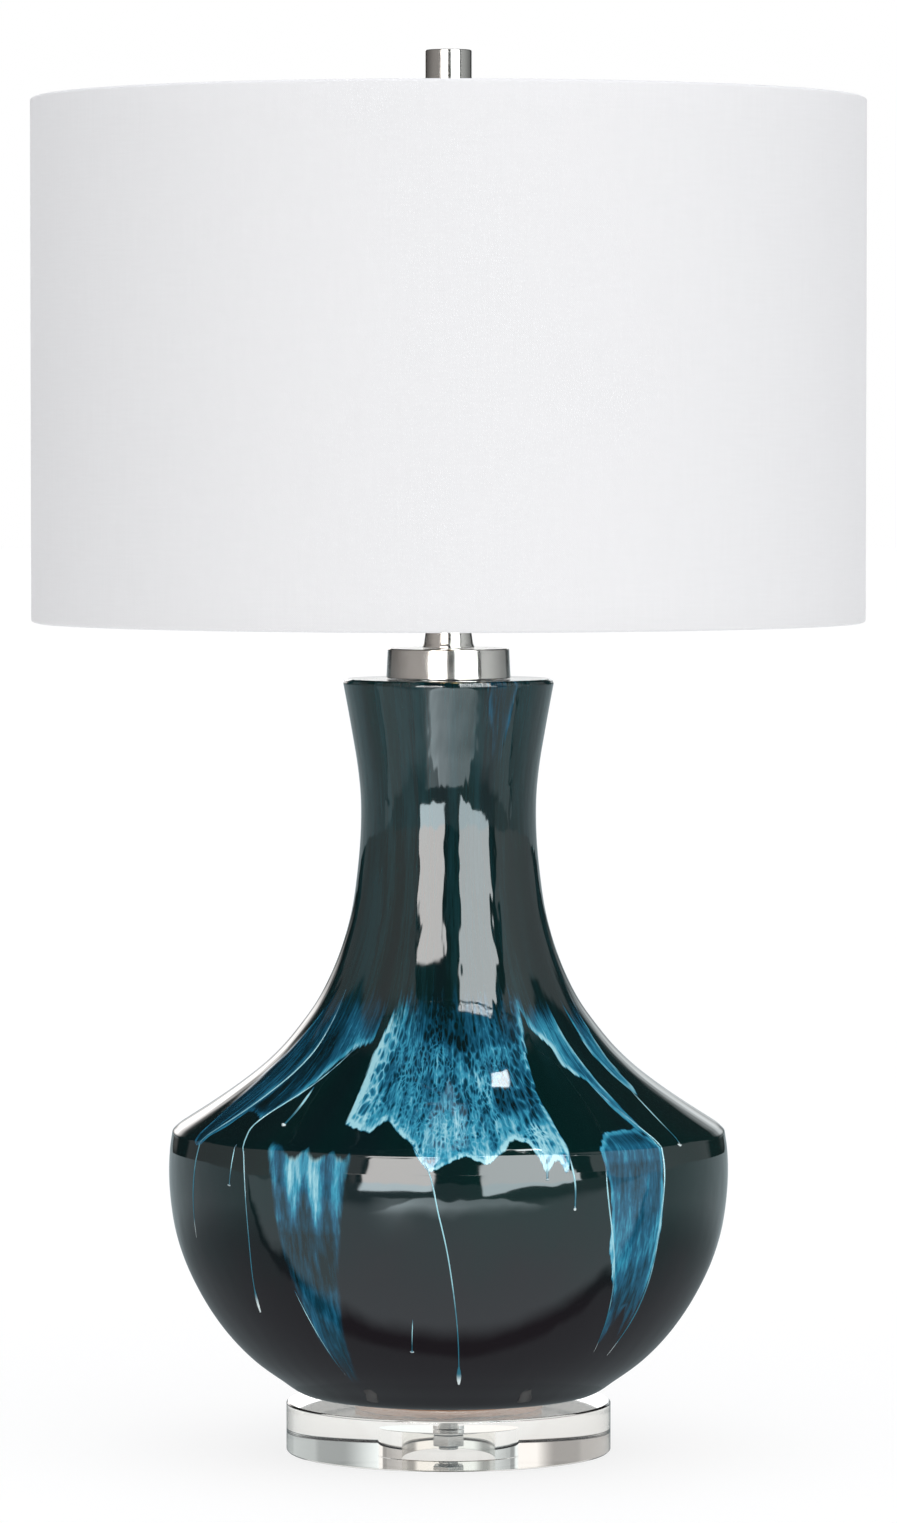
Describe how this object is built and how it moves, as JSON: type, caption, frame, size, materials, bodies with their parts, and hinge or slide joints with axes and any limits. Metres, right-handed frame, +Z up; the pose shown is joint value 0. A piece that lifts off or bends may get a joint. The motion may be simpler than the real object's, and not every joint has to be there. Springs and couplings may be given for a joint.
{
  "type": "table lamp with shade",
  "caption": "Table lamp: glazed stoneware vase with a flared neck on a clear disc base, nickel cap, neck and drum finial, and a wide white drum shade.",
  "frame": {"origin": "on the surface the lamp stands on, on the lamp's upright axis", "axes": "+Z up along the lamp's axis; the front of the lamp and the switch knob face -Y; the harp stands in the X-Z plane"},
  "size_m": [0.4064, 0.4064, 0.6853],
  "materials": {
    "nickel": "polished",
    "zinc_steel": "satin",
    "brass": "satin",
    "acrylic": "polished",
    "clear_rubber": "matte",
    "glazed_stoneware": "gloss",
    "shade_cloth": "matte",
    "styrene": "satin",
    "white_wire": "satin",
    "black_plastic": "satin",
    "black_rubber": "matte",
    "fibre": "matte",
    "aluminium": "satin",
    "frosted_glass": "satin"
  },
  "bodies": {
    "lamp_base": {"bumper_foot_1": "clear_rubber", "bumper_foot_2": "clear_rubber", "bumper_foot_3": "clear_rubber", "bumper_foot_4": "clear_rubber", "acrylic_base": "acrylic", "threaded_rod": "zinc_steel", "base_washer": "zinc_steel", "base_lock_washer": "zinc_steel", "base_nut": "zinc_steel", "vase": "glazed_stoneware", "cord_grommet": "black_rubber", "vase_cap": "nickel", "neck": "nickel", "harp_saddle": "nickel", "socket_cap": "brass", "socket_set_screw": "zinc_steel", "socket_shell": "brass", "socket_liner": "fibre", "socket_interior": "black_plastic", "terminal_screw_hot": "brass", "terminal_screw_neutral": "zinc_steel", "screw_shell": "brass", "center_contact": "brass"},
    "switch": {"switch_shaft": "black_plastic", "switch_knob": "black_plastic"},
    "harp": {"harp_wire": "nickel", "harp_stud": "brass"},
    "sleeve_left": {"harp_sleeve_left": "nickel"},
    "sleeve_right": {"harp_sleeve_right": "nickel"},
    "shade": {"shade_fabric": "shade_cloth", "shade_liner": "styrene", "top_ring": "white_wire", "bottom_ring": "white_wire", "spider_washer": "white_wire", "spider_arm_1": "white_wire", "spider_arm_2": "white_wire", "spider_arm_3": "white_wire"},
    "finial_insert": {"finial_insert": "brass"},
    "finial": {"finial": "nickel"},
    "bulb_contact": {"bulb_contact": "brass"},
    "bulb": {"bulb_base": "aluminium", "bulb_envelope": "frosted_glass"}
  },
  "joints": [
    {"name": "switch_turn", "type": "hinge", "parent": "lamp_base", "child": "switch", "pos_m": [0, -0.03, 0.4453], "axis": [0, -1, 0], "continuous": true},
    {"name": "harp_lift", "type": "slide", "parent": "lamp_base", "child": "harp", "axis": [0, 0, 1], "range_m": [0, 0.016]},
    {"name": "sleeve_left_lift", "type": "slide", "parent": "harp", "child": "sleeve_left", "axis": [0, 0, 1], "range_m": [0, 0.012]},
    {"name": "sleeve_right_lift", "type": "slide", "parent": "harp", "child": "sleeve_right", "axis": [0, 0, 1], "range_m": [0, 0.012]},
    {"name": "shade_turn", "type": "hinge", "parent": "harp", "child": "shade", "pos_m": [0, 0, 0.65], "axis": [0, 0, 1], "continuous": true},
    {"name": "finial_lift", "type": "slide", "parent": "harp", "child": "finial_insert", "axis": [0, 0, 1], "range_m": [0, 0.0077]},
    {"name": "finial_turn", "type": "hinge", "parent": "finial_insert", "child": "finial", "pos_m": [0, 0, 0.66], "axis": [0, 0, 1], "range_deg": [0, 2880]},
    {"name": "bulb_lift", "type": "slide", "parent": "lamp_base", "child": "bulb_contact", "axis": [0, 0, 1], "range_m": [0, 0.0165]},
    {"name": "bulb_turn", "type": "hinge", "parent": "bulb_contact", "child": "bulb", "pos_m": [0, 0, 0.46], "axis": [0, 0, 1], "range_deg": [0, 1620]}
  ],
  "couplings": [
    {"joint": "finial_lift", "follows": "finial_turn", "m_per_rad": 0.00014972},
    {"joint": "bulb_lift", "follows": "bulb_turn", "m_per_rad": 0.0005775}
  ]
}
